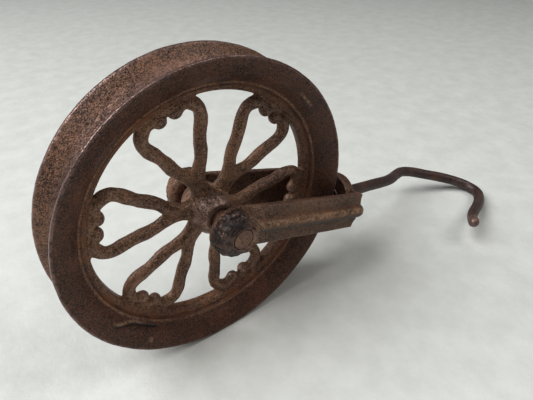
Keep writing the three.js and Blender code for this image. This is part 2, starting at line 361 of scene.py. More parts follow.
def smooth_line(points: Sequence[Sequence[float]], spacing: float) -> Array:
    """A centripetal Catmull-Rom curve through points, at an even spacing.

    Args:
        points: The points that it passes through.
        spacing: The distance between the points of the result.

    Returns:
        The curve's points, one row each.
    """
    given = np.array(points, float)
    padded = np.concatenate([[2 * given[0] - given[1]], given, [2 * given[-1] - given[-2]]])
    made = []
    for index in range(1, len(padded) - 2):
        a, b, c, d = padded[index - 1 : index + 3]
        knots = np.concatenate([[0], np.cumsum([np.linalg.norm(q - p) ** 0.5 for p, q in ((a, b), (b, c), (c, d))])])
        t = np.linspace(knots[1], knots[2], 24, endpoint=False)[:, None]
        k0, k1, k2, k3 = knots
        one = (k1 - t) / (k1 - k0) * a + (t - k0) / (k1 - k0) * b
        two = (k2 - t) / (k2 - k1) * b + (t - k1) / (k2 - k1) * c
        three = (k3 - t) / (k3 - k2) * c + (t - k2) / (k3 - k2) * d
        near = (k2 - t) / (k2 - k0) * one + (t - k0) / (k2 - k0) * two
        far = (k3 - t) / (k3 - k1) * two + (t - k1) / (k3 - k1) * three
        made.append((k2 - t) / (k2 - k1) * near + (t - k1) / (k2 - k1) * far)
    dense = np.concatenate([*made, [given[-1]]])
    length = np.concatenate([[0], np.cumsum(np.linalg.norm(np.diff(dense, axis=0), axis=1))])
    wanted = np.linspace(0, length[-1], max(2, round(length[-1] / spacing)))
    return np.stack([np.interp(wanted, length, dense[:, axis]) for axis in range(dense.shape[1])], axis=1)


def superellipse(half_width: float, half_depth: float, power: float, sides: int) -> Array:
    """A section between a diamond (power 1) and an oval (power 2).

    Args:
        half_width: Reach along its first axis.
        half_depth: Reach along its second axis.
        power: Its roundness.
        sides: Its number of corners.

    Returns:
        The section's (first, second) corners.
    """
    angle = np.arange(sides) * 2 * math.pi / sides
    bend = 2 / power
    first = half_width * np.sign(np.cos(angle)) * np.abs(np.cos(angle)) ** bend
    second = half_depth * np.sign(np.sin(angle)) * np.abs(np.sin(angle)) ** bend
    return np.stack([first, second], axis=1)


def ball(radius: Sequence[float], centre: Sequence[float], rings: int = 16) -> Shell:
    """A ball or egg, with a small flat at each pole.

    Args:
        radius: Its reach along X, Y and Z.
        centre: Its middle.
        rings: How many rings of corners it has.

    Returns:
        The closed shell.
    """
    made = []
    for tilt in np.linspace(-0.47, 0.47, rings) * math.pi:
        angle = np.arange(2 * rings) * math.pi / rings
        flat = math.cos(tilt)
        ring = np.stack([flat * np.cos(angle), np.full(2 * rings, math.sin(tilt)), -flat * np.sin(angle)], axis=1)
        made.append(ring * np.array(radius) + np.array(centre))
    return lofted(np.array(made))


# Working a mesh


def evaluated_mesh(item: bpy.types.Object) -> bpy.types.Mesh:
    """The mesh that an object's modifiers give. The object and its own mesh are removed."""
    bpy.context.view_layer.update()
    graph = bpy.context.evaluated_depsgraph_get()
    made = bpy.data.meshes.new_from_object(item.evaluated_get(graph))
    old = item.data
    bpy.data.objects.remove(item)
    bpy.data.meshes.remove(old)
    return made


def in_scene(name: str, data: bpy.types.ID) -> bpy.types.Object:
    """A new object in the scene."""
    item = bpy.data.objects.new(name, data)
    bpy.context.scene.collection.objects.link(item)
    return item


def cast_whole(shell: Shell, voxel: float) -> bpy.types.Mesh:
    """Joins overlapping shells into one even skin, as if they were poured together.

    Args:
        shell: The overlapping shells.
        voxel: Size of the skin's faces, in millimetres.

    Returns:
        The skin, in millimetres.
    """
    item = in_scene("mould", shell.mesh("mould"))
    remesh = item.modifiers.new("pour", "REMESH")
    remesh.mode = "VOXEL"
    remesh.voxel_size = voxel
    return evaluated_mesh(item)


def drilled(shell: Shell, cutter: Shell) -> Shell:
    """Cuts one shell's space out of another's.

    Args:
        shell: What is cut.
        cutter: What is taken away.

    Returns:
        The cut shell.
    """
    item = in_scene("blank", shell.mesh("blank"))
    tool = in_scene("drill", cutter.mesh("drill"))
    cut = item.modifiers.new("drill", "BOOLEAN")
    cut.operation = "DIFFERENCE"
    cut.solver = "EXACT"
    cut.object = tool
    made = evaluated_mesh(item)
    tool_mesh = tool.data
    bpy.data.objects.remove(tool)
    bpy.data.meshes.remove(tool_mesh)
    return Shell.taken_from(made)


@dataclass
class Skin:
    """A mesh being worked: smoothed, dented and marked while it is still in millimetres.

    Attributes:
        mesh: The Blender mesh.
        points: Its corners, kept here until done() writes them back.
        edges: The numbers of the corners that each edge joins.
        marks: What the finish will read at each corner.
        pull_in: How far each round of smoothing moves a corner towards its neighbours' mean.
        push_back: How far it is then moved back, so that the skin doesn't shrink.
    """

    mesh: bpy.types.Mesh
    points: Array = field(init=False)
    edges: Array = field(init=False)
    marks: dict[Mark, Array] = field(default_factory=dict)
    pull_in: float = 0.6
    push_back: float = -0.56

    def __post_init__(self) -> None:
        """Reads the corners and edges of the mesh."""
        flat = np.empty(len(self.mesh.vertices) * 3, np.float32)
        self.mesh.vertices.foreach_get("co", flat)
        self.points = flat.reshape(-1, 3).astype(float)
        ends = np.empty(len(self.mesh.edges) * 2, np.int32)
        self.mesh.edges.foreach_get("vertices", ends)
        self.edges = ends.reshape(-1, 2)

    def averaged(self, values: Array, rounds: int, pull: float = 0.5) -> Array:
        """Spreads values along the mesh's edges.

        Args:
            values: One row for each corner.
            rounds: How many times each corner is moved towards its neighbours' mean.
            pull: How far it moves each time, negative to push back.

        Returns:
            The spread values.
        """
        first, second = self.edges.T
        count = len(self.points)
        rows = values.reshape(count, -1).astype(float)
        degree = np.bincount(first, minlength=count) + np.bincount(second, minlength=count)
        for _ in range(rounds):
            total = np.stack(
                [
                    np.bincount(first, column[second], count) + np.bincount(second, column[first], count)
                    for column in rows.T
                ],
                axis=1,
            )
            rows = rows + pull * (total / np.maximum(degree, 1)[:, None] - rows)
        return rows.reshape(values.shape)

    def smooth(self, rounds: int) -> "Skin":
        """Takes the steps out of the skin without shrinking it."""
        for _ in range(rounds):
            drawn = self.averaged(self.points, 1, self.pull_in)
            self.points = self.averaged(drawn, 1, self.push_back)
        return self

    def soften(self, rounds: int) -> "Skin":
        """Fills corners and rounds edges, as sand and years do."""
        self.points = self.averaged(self.points, rounds)
        return self

    def normals(self) -> Array:
        """The outward direction at each corner."""
        self.mesh.vertices.foreach_set("co", self.points.astype(np.float32).ravel())
        self.mesh.update()
        flat = np.empty(len(self.points) * 3, np.float32)
        self.mesh.vertex_normals.foreach_get("vector", flat)
        return flat.reshape(-1, 3).astype(float)

    def raise_by(self, height: Array) -> None:
        """Moves each corner out by its own height, in millimetres."""
        self.points = self.points + self.normals() * height[:, None]

    def mark(self, kind: Mark, strength: Array) -> None:
        """Stores a mark for the finish, adding to one that is there."""
        self.marks[kind] = np.clip(self.marks.get(kind, 0) + strength, 0, 1)

    def mark_wear(self, rounds: int, full: float) -> None:
        """Marks the proud edges as worn and the corners as hollow.

        Args:
            rounds: How widely the surface is averaged to compare it with itself.
            full: Height over that average, in millimetres, that counts as fully worn.
        """
        proud = ((self.points - self.averaged(self.points, rounds)) * self.normals()).sum(1)
        proud = self.averaged(proud, 2)
        least = 0.15 * full
        self.mark(Mark.WORN, ramp(proud, least, full))
        self.mark(Mark.HOLLOW, ramp(-proud, least, full))

    def done(self, name: str, place: Matrix) -> bpy.types.Object:
        """Finishes the piece.

        Args:
            name: The piece's name.
            place: The frame that it was built in.

        Returns:
            The piece, an object at the origin with its place in its mesh, in metres.
        """
        matrix = np.array(place)
        placed = self.points * MM @ matrix[:3, :3].T + matrix[:3, 3]
        self.mesh.vertices.foreach_set("co", placed.astype(np.float32).ravel())
        self.mesh.shade_smooth()
        self.mesh.update()
        for kind in Mark:
            values = self.marks.get(kind, np.zeros(len(self.points)))
            layer = self.mesh.attributes.new(kind.value, "FLOAT", "POINT")
            layer.data.foreach_set("value", values.astype(np.float32))
        self.mesh.name = name
        return in_scene(name, self.mesh)


# Nodes


def paint(red: int, green: int, blue: int) -> Colour:
    """A colour as a painter reads it, 0 to 255, turned into the linear values that shaders use."""
    return tuple((value / 255) ** 2.2 for value in (red, green, blue))


@dataclass
class Sheet:
    """A node tree being filled in.

    Attributes:
        tree: The tree.
    """

    tree: bpy.types.NodeTree

    def add(self, kind: str, **settings: object) -> bpy.types.Node:
        """A new node with its properties set."""
        node = self.tree.nodes.new(kind)
        for key, value in settings.items():
            setattr(node, key, value)
        return node

    def plug(self, socket: bpy.types.NodeSocket, value: object) -> None:
        """Links a socket to another one, or sets it. A colour is given its fourth number."""
        if isinstance(value, bpy.types.NodeSocket):
            self.tree.links.new(value, socket)
        else:
            socket.default_value = (*value, 1) if isinstance(value, tuple) else value

    def feed(self, node: bpy.types.Node, **values: object) -> bpy.types.Node:
        """Links or sets inputs by name, with _ for a space, and returns the node."""
        for key, value in values.items():
            self.plug(node.inputs[key.replace("_", " ")], value)
        return node

    def noise(self, place: bpy.types.NodeSocket, per_metre: float, detail: float) -> bpy.types.NodeSocket:
        """A noise value, with so many waves in a metre."""
        node = self.add("ShaderNodeTexNoise")
        self.feed(node, Vector=place, Scale=per_metre, Detail=detail, Roughness=0.6)
        return node.outputs["Fac"]

    def stretch(self, value: bpy.types.NodeSocket, low: float, high: float) -> bpy.types.NodeSocket:
        """A value stretched so that low becomes 0 and high becomes 1."""
        node = self.add("ShaderNodeMapRange", interpolation_type="SMOOTHSTEP")
        self.feed(node, Value=value, From_Min=low, From_Max=high)
        return node.outputs[0]

    def maths(self, operation: str, *values: object) -> bpy.types.NodeSocket:
        """The result of one operation on values or sockets."""
        node = self.add("ShaderNodeMath", operation=operation)
        for socket, value in zip(node.inputs, values):
            self.plug(socket, value)
        return node.outputs[0]

    def product(self, first: object, second: object) -> bpy.types.NodeSocket:
        """One value or socket times another."""
        return self.maths("MULTIPLY", first, second)

    def total(self, first: object, *others: object) -> bpy.types.NodeSocket:
        """The sum of values or sockets."""
        for other in others:
            first = self.maths("ADD", first, other)
        return first

    def blend(self, share: object, under: object, over: object) -> bpy.types.NodeSocket:
        """One colour over another, by a share."""
        node = self.add("ShaderNodeMix", data_type="RGBA")
        for index, value in ((0, share), (6, under), (7, over)):
            self.plug(node.inputs[index], value)
        return node.outputs[2]

    def surface(self, height: bpy.types.NodeSocket, strength: float, depth: float, **values: object) -> None:
        """Ends a material with its shader.

        Args:
            height: The relief of its surface.
            strength: How strongly the relief shows.
            depth: The relief's height, in metres.
            values: Named inputs of the shader.
        """
        bump = self.feed(self.add("ShaderNodeBump"), Height=height, Strength=strength, Distance=depth)
        shader = self.feed(self.add("ShaderNodeBsdfPrincipled"), Normal=bump.outputs["Normal"], **values)
        self.feed(self.add("ShaderNodeOutputMaterial"), Surface=shader.outputs["BSDF"])


class Growth:
    """A geometry node tree that makes one mesh of another, and ends in real faces with their material."""

    def __init__(self, name: str, **inputs: str) -> None:
        """Starts the tree.

        Args:
            name: Its name.
            inputs: Kind of each named input, besides its geometry and its material.
        """
        self.sheet = Sheet(bpy.data.node_groups.new(name, "GeometryNodeTree"))
        face = self.sheet.tree.interface
        kinds = {"Geometry": "Geometry", **inputs, "Material": "Material"}
        self.known = {
            label: face.new_socket(label, in_out="INPUT", socket_type=f"NodeSocket{kind}").identifier
            for label, kind in kinds.items()
        }
        face.new_socket("Geometry", in_out="OUTPUT", socket_type="NodeSocketGeometry")
        self.given = self.sheet.add("NodeGroupInput").outputs

    def run(self, mesh: bpy.types.Mesh, shape: bpy.types.NodeSocket, **settings: object) -> bpy.types.Mesh:
        """Ends the tree, runs it and removes it.

        Args:
            mesh: The mesh that it starts from, which is removed.
            shape: The geometry that its nodes make.
            settings: The value of each named input.

        Returns:
            The mesh that it makes.
        """
        sheet = self.sheet
        real = sheet.feed(sheet.add("GeometryNodeRealizeInstances"), Geometry=shape)
        dressed = sheet.add("GeometryNodeSetMaterial")
        sheet.feed(dressed, Geometry=real.outputs[0], Material=self.given["Material"])
        sheet.feed(sheet.add("NodeGroupOutput"), Geometry=dressed.outputs[0])
        item = in_scene("grown", mesh)
        step = item.modifiers.new("growth", "NODES")
        step.node_group = sheet.tree
        for label, value in settings.items():
            step[self.known[label]] = value
        made = evaluated_mesh(item)
        bpy.data.node_groups.remove(sheet.tree)
        return made


@dataclass(frozen=True)
class CopyRing:
    """Copies of one piece round the Y axis, as geometry nodes.

    Attributes:
        count: How many copies.
        phase: Angle of the first, in degrees from X towards Z.
    """

    count: int
    phase: float

    def of(self, shell: Shell, material: bpy.types.Material) -> Shell:
        """Makes the ring.

        Args:
            shell: The shell to copy, which points along X.
            material: Its finish.

        Returns:
            All the copies as one shell.
        """
        growth = Growth("ring of copies", Count="Int", Phase="Float")
        sheet, given = growth.sheet, growth.given
        points = sheet.feed(sheet.add("GeometryNodePoints"), Count=given["Count"])
        share = sheet.maths("DIVIDE", sheet.add("GeometryNodeInputIndex").outputs[0], given["Count"])
        angle = sheet.maths("MULTIPLY_ADD", share, -2 * math.pi, given["Phase"])
        turn = sheet.feed(sheet.add("ShaderNodeCombineXYZ"), Y=angle)
        place = sheet.add("GeometryNodeInstanceOnPoints")
        sheet.feed(place, Points=points.outputs[0], Instance=given["Geometry"], Rotation=turn.outputs[0])
        settings = {"Count": self.count, "Phase": -math.radians(self.phase), "Material": material}
        return Shell.taken_from(growth.run(shell.mesh("copied"), place.outputs[0], **settings))


@dataclass(frozen=True)
class BarAlongLine:
    """A round bar along a line, as geometry nodes, as thick as the line's points say.

    Attributes:
        sides: Corners of the bar's section.
    """

    sides: int

    def along(self, line: Array, radius: Array, material: bpy.types.Material) -> bpy.types.Mesh:
        """Makes the bar.

        Args:
            line: Its centre line.
            radius: Its radius at each point of the line.
            material: Its finish.

        Returns:
            The bar's closed mesh, in millimetres.
        """
        wire = bpy.data.meshes.new("line")
        wire.from_pydata(line.tolist(), [(i, i + 1) for i in range(len(line) - 1)], [])
        layer = wire.attributes.new("thickness", "FLOAT", "POINT")
        layer.data.foreach_set("value", radius.astype(np.float32))
        growth = Growth("bar along a line", Sides="Int")
        sheet, given = growth.sheet, growth.given
        stored = sheet.feed(sheet.add("GeometryNodeInputNamedAttribute", data_type="FLOAT"), Name="thickness")
        section = sheet.add("GeometryNodeCurvePrimitiveCircle")
        sheet.feed(section, Resolution=given["Sides"], Radius=1.0)
        curve = sheet.feed(sheet.add("GeometryNodeMeshToCurve"), Mesh=given["Geometry"])
        skin = sheet.add("GeometryNodeCurveToMesh")
        sheet.feed(skin, Curve=curve.outputs[0], Profile_Curve=section.outputs[0])
        sheet.feed(skin, Scale=stored.outputs[0], Fill_Caps=True)
        return growth.run(wire, skin.outputs[0], Sides=self.sides, Material=material)


# Finishes


def blank_material(name: str) -> tuple[bpy.types.Material, Sheet, bpy.types.NodeSocket]:
    """An empty material, the sheet to fill it in on, and its object coordinates."""
    made = bpy.data.materials.new(name)
    made.use_nodes = True
    made.node_tree.nodes.clear()
    sheet = Sheet(made.node_tree)
    return made, sheet, sheet.add("ShaderNodeTexCoord").outputs["Object"]


def group_of(
    name: str, inputs: dict[str, str], outputs: dict[str, str]
) -> tuple[Sheet, bpy.types.Node, bpy.types.Node]:
    """Starts a shader node group.

    Args:
        name: Its name.
        inputs: Kind of each named input.
        outputs: Kind of each named output.

    Returns:
        The sheet to fill in, its input node and its output node.
    """
    sheet = Sheet(bpy.data.node_groups.new(name, "ShaderNodeTree"))
    for way, sockets in (("INPUT", inputs), ("OUTPUT", outputs)):
        for label, kind in sockets.items():
            sheet.tree.interface.new_socket(label, in_out=way, socket_type=f"NodeSocket{kind}")
    return sheet, sheet.add("NodeGroupInput"), sheet.add("NodeGroupOutput")


def casting_skin() -> bpy.types.NodeTree:
    """The sandy, pitted surface of old iron: a height for bumps and a mask of its pits."""
    inputs = {"Vector": "Vector", "Pitting": "Float"}
    sheet, given, out = group_of("casting skin", inputs, {"Height": "Float", "Pits": "Float"})
    here = given.outputs["Vector"]
    sand, lumps = sheet.noise(here, 620, 3), sheet.noise(here, 170, 2)
    cells = sheet.add("ShaderNodeTexVoronoi")
    sheet.feed(cells, Vector=here, Scale=480.0, Randomness=1.0)
    patch = sheet.stretch(sheet.noise(here, 60, 1), 0.42, 0.62)
    pits = sheet.product(sheet.stretch(cells.outputs["Distance"], 0.34, 0.12), patch)
    pits = sheet.product(pits, given.outputs["Pitting"])
    height = sheet.total(sheet.product(sand, 0.45), sheet.product(lumps, 0.8))
    height = sheet.maths("SUBTRACT", height, sheet.product(pits, 0.9))
    sheet.feed(out, Height=height, Pits=pits)
    return sheet.tree


def rust_coat() -> bpy.types.NodeTree:
    """Layers of rust: dark scale, brown rust, orange bloom in hollows and bare iron where it is worn; the pale, ochre
    and bare colours also paint light and sheen, and the grease colour paints shade, where the marks ask.
    """
    masks = {kind: f"{kind.value} mask" for kind in Mark}
    inputs = {"Vector": "Vector", **dict.fromkeys(COAT_COLOURS, "Color")}
    inputs |= dict.fromkeys((*masks.values(), "pits"), "Float")
    outputs = {"Colour": "Color", "Dullness": "Float", "Bareness": "Float"}
    sheet, given, out = group_of("rust coat", inputs, outputs)
    value = given.outputs
    mask = {kind: value[label] for kind, label in masks.items()}
    here = value["Vector"]
    clouds, flecks, grain = sheet.noise(here, 24, 3), sheet.noise(here, 240, 4), sheet.noise(here, 760, 3)
    parts = ((clouds, 0.22), (flecks, 0.22), (grain, 0.56))
    share = sheet.total(*(sheet.product(part, weight) for part, weight in parts))
    tan = sheet.product(sheet.stretch(sheet.noise(here, 900, 2), 0.56, 0.72), 0.42)
    bloom = sheet.product(mask[Mark.HOLLOW], sheet.stretch(sheet.noise(here, 70, 3), 0.38, 0.66))
    stray = sheet.product(sheet.stretch(sheet.noise(here, 48, 4), 0.6, 0.74), 0.5)
    # Bare colour on worn places, and painted sheen where the worn mark stands for it.
    rub_and_sheen = sheet.product(mask[Mark.WORN], sheet.stretch(flecks, 0.3, 0.6))
    clay = sheet.product(sheet.stretch(sheet.noise(here, 190, 5), 0.36, 0.66), 0.85)
    # Grease colour, which also paints shade under the rib and in the gouge.
    grease_and_shade_cover = sheet.product(mask[Mark.GREASE], sheet.stretch(flecks, 0.24, 0.5))
    # Paler colour where the pale mark says: thin rust, and painted light on parts that should look lit.
    light = sheet.blend(mask[Mark.PALE], value["brown"], value["pale"])
    colour = sheet.blend(sheet.stretch(share, 0.38, 0.62), value["dark"], light)
    layers = (
        (tan, "pale"),
        (sheet.maths("MAXIMUM", bloom, stray), "bloom"),
        (sheet.product(rub_and_sheen, 0.6), "bare"),
        (sheet.product(mask[Mark.OCHRE], clay), "ochre"),
        (grease_and_shade_cover, "grease"),
        (sheet.product(value["pits"], 0.5), "dark"),
        # Scars in ochre, the gouge's lip among them as a painted highlight.
        (sheet.product(mask[Mark.SCAR], sheet.stretch(flecks, 0.3, 0.6)), "ochre"),
    )
    for cover, name in layers:
        colour = sheet.blend(cover, colour, value[name])
    dull = sheet.total(0.29, sheet.product(flecks, 0.4))
    dull = sheet.maths("SUBTRACT", dull, sheet.product(rub_and_sheen, 0.2))
    dull = sheet.maths("SUBTRACT", dull, sheet.product(grease_and_shade_cover, 0.16))
    sheet.feed(out, Colour=colour, Dullness=dull, Bareness=sheet.total(0.08, sheet.product(rub_and_sheen, 0.6)))
    return sheet.tree


@dataclass(frozen=True)
class IronFinish:
    """Old iron, as one of the pulley's pieces shows it.

    Attributes:
        slot: The record's material slot.
        dark: Colour of the oldest scale.
        brown: Colour of the rust over most of it.
        pale: Colour of the rust where hands and weather keep it thin, also used as painted light to lift parts that
            should look lit.
        bloom: Colour of fresh rust in hollows.
        bare: Colour where it is rubbed, also painted sheen in the rope groove and on the hub's ends, and painted light
            on the ears' lumps.
        ochre: Colour of clay and pale rust on the ribs and in scars, also a painted highlight on the rib's upper half
            and on the gouge's torn lip.
        grease: Colour of old grease, also painted shade under the rib and in the gouge.
        pitting: How many pits it has, from 0 to 1.
        relief: Height of the sandy surface, in metres.
        sheen: How strongly it shines at a glance.
    """

    slot: str
    dark: Colour = paint(39, 24, 19)
    brown: Colour = paint(104, 66, 49)
    pale: Colour = paint(178, 138, 108)
    bloom: Colour = paint(118, 72, 42)
    bare: Colour = paint(146, 126, 122)
    ochre: Colour = paint(166, 134, 106)
    grease: Colour = paint(30, 28, 32)
    pitting: float = 1.0
    relief: float = 0.0009
    sheen: float = 0.5

    def material(self, skin: bpy.types.NodeTree, coat: bpy.types.NodeTree) -> bpy.types.Material:
        """Builds the material.

        Args:
            skin: The group that gives the surface's relief.
            coat: The group that gives its colours.

        Returns:
            The finished material.
        """
        made, sheet, here = blank_material(self.slot)
        relief = sheet.feed(sheet.add("ShaderNodeGroup", node_tree=skin), Vector=here, Pitting=self.pitting)
        marks = {
            f"{kind.value}_mask": sheet.add("ShaderNodeAttribute", attribute_name=kind.value).outputs["Fac"]
            for kind in Mark
        }
        colours = {name: getattr(self, name) for name in COAT_COLOURS}
        layers = sheet.add("ShaderNodeGroup", node_tree=coat)
        given = sheet.feed(layers, Vector=here, pits=relief.outputs["Pits"], **marks, **colours).outputs
        look = {"Base_Color": given["Colour"], "Roughness": given["Dullness"], "Metallic": given["Bareness"]}
        sheet.surface(relief.outputs["Height"], 1.0, self.relief, Specular_IOR_Level=self.sheen, **look)
        return made


@dataclass
class Finishes:
    """Every finish, made once."""

    made: dict[str, bpy.types.Material] = field(default_factory=dict)

    def __post_init__(self) -> None:
        """Builds the shared groups and the four finishes."""
        skin, coat = casting_skin(), rust_coat()
        kinds = (
            IronFinish("wheel_casting"),
            IronFinish("yoke_casting", brown=paint(118, 86, 66), relief=0.001),
            IronFinish("pin_steel", brown=paint(112, 80, 64), dark=paint(72, 52, 45), pitting=0.4, relief=0.0002),
            IronFinish(
                "hook_iron", dark=paint(42, 32, 31), brown=paint(78, 58, 53), pitting=0.5, relief=0.0003, sheen=0.6
            ),
        )
        for kind in kinds:
            self.made[kind.slot] = kind.material(skin, coat)

    def dress(self, piece: bpy.types.Object, slot: str, body: str, *nodes: str) -> bpy.types.Object:
        """Gives a piece its finish, body and slot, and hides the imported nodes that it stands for.

        Args:
            piece: The finished piece.
            slot: The record's material slot.
            body: The body that it rides on.
            nodes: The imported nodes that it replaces.

        Returns:
            The piece.
        """
        piece.data.materials.clear()
        piece.data.materials.append(self.made[slot])
        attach(piece, body)
        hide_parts(*nodes)
        log.info("%s: %d faces, on %s", piece.name, len(piece.data.polygons), body)
        return piece


# The wheel


@dataclass
class Wheel:
    """The grooved wheel: a rim of two dished flanges, six lyre-shaped spokes and a barrel hub.

    Attributes:
        place: Its frame, with Y along the axle.
        finishes: The finishes to dress it in.
        rim_sides: How many copies of the rim's section go round.
        rim_step: Spacing of the points of that section.
        voxel: Size of the spider's faces.
    """

    place: Matrix
    finishes: Finishes
    radius: float = 150.0
    half_width: float = 25.35
    dish_radius: float = 124.0
    dish_half: float = 10.9
    bore: float = 116.0
    groove_radius: float = 131.0
    hub_radius: float = 21.5
    hub_half: float = 24.0
    hub_bore: float = 10.4
    spokes: int = 6
    phase: float = 46.0
    arm_half_width: float = 6.3
    arm_half_depth: float = 6.4
    ball_radius: float = 6.9
    ball_side: float = 7.8
    ball_out: float = 107.3
    web_start: float = 109.8
    web_half_depth: float = 4.2
    web_half_width: float = 12.0
    rim_sides: int = 620
    rim_step: float = 1.3
    voxel: float = 1.13

    def rim_section(self) -> Outline:
        """The rim's section: its bore, then a flange's bead, cove and edge, then the groove, and back."""
        side, dish = self.half_width, self.dish_half
        near = [
            ((self.bore + 0.3, 0.0), 0.0),
            ((self.bore + 0.3, -5.2), 1.2),
            ((self.dish_radius - 2.6, -dish + 2.2), 1.0),
            ((self.dish_radius - 1.8, -dish + 2.9), 0.3),
            ((self.dish_radius - 0.6, -dish - 0.1), 0.6),
            ((self.dish_radius + 1.2, -dish - 0.5), 0.8),
            ((self.dish_radius + 8.5, -side + 7.4), 10.0),
            ((self.dish_radius + 17.0, -side + 2.6), 14.0),
            ((self.radius - 1.6, -side), 1.0),
            ((self.radius, -side + 1.0), 0.8),
            ((self.radius, -side + 4.0), 0.9),
            ((self.groove_radius + 3.0, -6.5), 3.0),
            ((self.groove_radius, -1.6), 2.5),
        ]
        far = [((radius, -y), fillet) for (radius, y), fillet in reversed(near[1:])]
        return rounded_section(near + far, self.rim_step)

    def rim(self) -> bpy.types.Object:
        """The rim: dished flanges, groove, and the bead and crevice where each flange meets the ring."""
        skin = Skin(turned(self.rim_section(), self.rim_sides).mesh("rim"))
        points = skin.points
        out = off_axis(points)
        outer_face = np.abs(points[:, 1]) > 12 + (out - 135) * 0.8
        skin.mark_wear(3, 0.12)
        skin.marks[Mark.WORN] *= ramp(out, self.radius - 4, self.radius - 1)
        waves = layered_noise(points, 26.0, seed=3) * 0.35 + layered_noise(points, 6.0, seed=9, layers=2) * 0.12
        nicks = 0.25 * ramp(out, self.radius - 6, self.radius) * np.abs(layered_noise(points, 14.0, seed=21, layers=2))
        skin.raise_by(waves - 0.3 - nicks)
        self.mark_rim(skin, points, outer_face)
        self.scar_rim(skin, points, outer_face & (points[:, 1] < 0))
        piece = skin.done("wheel_rim", self.place)
        return self.finishes.dress(piece, "wheel_casting", "wheel", "groove_ring", "near_flange", "far_flange")

    def mark_rim(self, skin: Skin, points: Array, outer_face: Array) -> None:
        """Marks the rim's crevices, beads and edges, and the groove that the rope has rubbed, with painted light on
        the bead, the ring's inner slope and the far flange's groove side, and painted sheen in the groove and on the
        arris.

        Args:
            skin: The rim's skin.
            points: Its corners before they were dented.
            outer_face: Which corners are on a flange's outer face.
        """
        out, depth = off_axis(points), np.abs(points[:, 1])
        crevice = ramp(np.abs(out - self.dish_radius + 1.9), 1.8, 0.4) * outer_face
        glaze = ramp(np.abs(out - self.dish_radius + 3.5), 6.0, 1.0) * outer_face * (depth > 4)
        skin.mark(Mark.HOLLOW, np.maximum(crevice, 0.6 * glaze))
        bead = ramp(np.abs(out - self.dish_radius - 0.5), 1.6, 0.4) * outer_face
        # Paler on the bead and the ring's inner slope, partly pale rust and partly a painted highlight; paler on the
        # far flange's groove side as painted light.
        skin.mark(Mark.PALE, 0.7 * bead + 0.5 * ramp(out, 123, 119) + 0.4 * ~outer_face * (points[:, 1] > 0))
        # Bare colour deep in the groove, rope polish and a painted sheen; a pale line on the arris, edge wear and a
        # painted edge highlight.
        rope_polish_and_sheen = ramp(out, self.groove_radius + 12, self.groove_radius + 4) * ~outer_face * (out > 128)
        arris = ramp(out, self.radius - 1.5, self.radius - 0.7) * 0.6
        skin.mark(Mark.WORN, np.maximum(0.8 * rope_polish_and_sheen, arris))

    def scar_rim(self, skin: Skin, points: Array, near_face: Array) -> None:
        """Cuts the gouge in the near flange, paints shade in it and a highlight on its lip, and marks a chip and a
        scratch.

        Args:
            skin: The rim's skin.
            points: Its corners before they were dented.
            near_face: Which corners are on the near flange's outer face.
        """
        out = off_axis(points)
        around = np.degrees(np.arctan2(points[:, 2], points[:, 0])) % 360
        bend = 128.6 + 7 * ramp(around, 222, 211)
        along = ramp(around, 210, 213) * ramp(around, 235, 233)
        gouge = ramp(np.abs(out - bend), 1.5, 0.5) * along * near_face
        skin.raise_by(-0.9 * gouge)
        # Painted shade in the gouge, in the grease colour.
        skin.mark(Mark.GREASE, gouge)
        # A strip beside the gouge: a painted highlight on its torn lip.
        torn_lip_highlight = ramp(np.abs(out - bend + 2.0), 1.8, 0.6) * along * ramp(around, 230, 222) * near_face
        chip = ramp(np.hypot(out - 139.5, (around - 231.5) * 2.4), 3.5, 1.5) * near_face
        scratch = ramp(np.abs(out - 136), 1.2, 0.4) * ramp(around, 36.5, 38.5) * ramp(around, 48, 42) * near_face
        skin.mark(Mark.SCAR, torn_lip_highlight * 0.7 + chip * 0.5 + scratch)

    def arm(self) -> Shell:
        """One arm of a lyre, along X, with its ball. It curls towards positive Z."""
        line = smooth_line(
            [
                (14, 3.4), (24, 3.2), (36, 3.7), (45, 6.8), (53, 12), (61, 15.4), (70, 18.1), (80, 22.2),
                (90, 27.0), (98, 28.1), (105, 24.8), (109.6, 18), (self.ball_out, self.ball_side + 1),
            ],
            1.5,
        )
        ahead = np.gradient(line, axis=0)
        ahead /= np.linalg.norm(ahead, axis=1)[:, None]
        across = np.stack([-ahead[:, 1], ahead[:, 0]], axis=1)
        share = np.linspace(0, 1, len(line))
        wide = self.arm_half_width * (1 + 0.25 * ramp(share, 0.12, 0.0) - 0.16 * ramp(share, 0.84, 1.0))
        deep = self.arm_half_depth * (1 + 0.25 * ramp(share, 0.12, 0.0) - 0.12 * ramp(share, 0.84, 1.0))
        wide = wide * (1 + 0.06 * np.sin(share * 31))
        rings = []
        for centre, aside, width, depth in zip(line, across, wide, deep):
            section = superellipse(width, depth, 1.7, 24)
            ring = np.stack(
                [centre[0] + section[:, 0] * aside[0], section[:, 1], centre[1] + section[:, 0] * aside[1]], axis=1
            )
            rings.append(ring)
        radius = self.ball_radius
        curl = ball((radius, radius * 0.92, radius), (self.ball_out, 0, self.ball_side))
        return lofted(np.array(rings)).joined(curl)

    def lyre(self) -> Shell:
        """A whole spoke: two arms, mirrored, and the web that ties their balls to the ring."""
        arm = self.arm()
        mirrored = Shell(arm.points * np.array([1, 1, -1]), [tuple(reversed(face)) for face in arm.faces])
        section = superellipse(self.web_half_depth, self.web_half_width, 3.0, 24)
        web = lofted(np.array([[(x, y, z) for y, z in section] for x in (self.web_start, self.bore + 1.5)]))
        return arm.joined(mirrored, web)

    def hub(self) -> Shell:
        """The barrel hub, bored for the pin."""
        half, radius = self.hub_half, self.hub_radius
        near = [((self.hub_bore, -half), 0.8), ((radius - 5.5, -half), 5.0), ((radius, -half + 10), 12.0)]
        far = [((out, -y), fillet) for (out, y), fillet in reversed(near)]
        return turned(rounded_section(near + far, 1.5), 96)

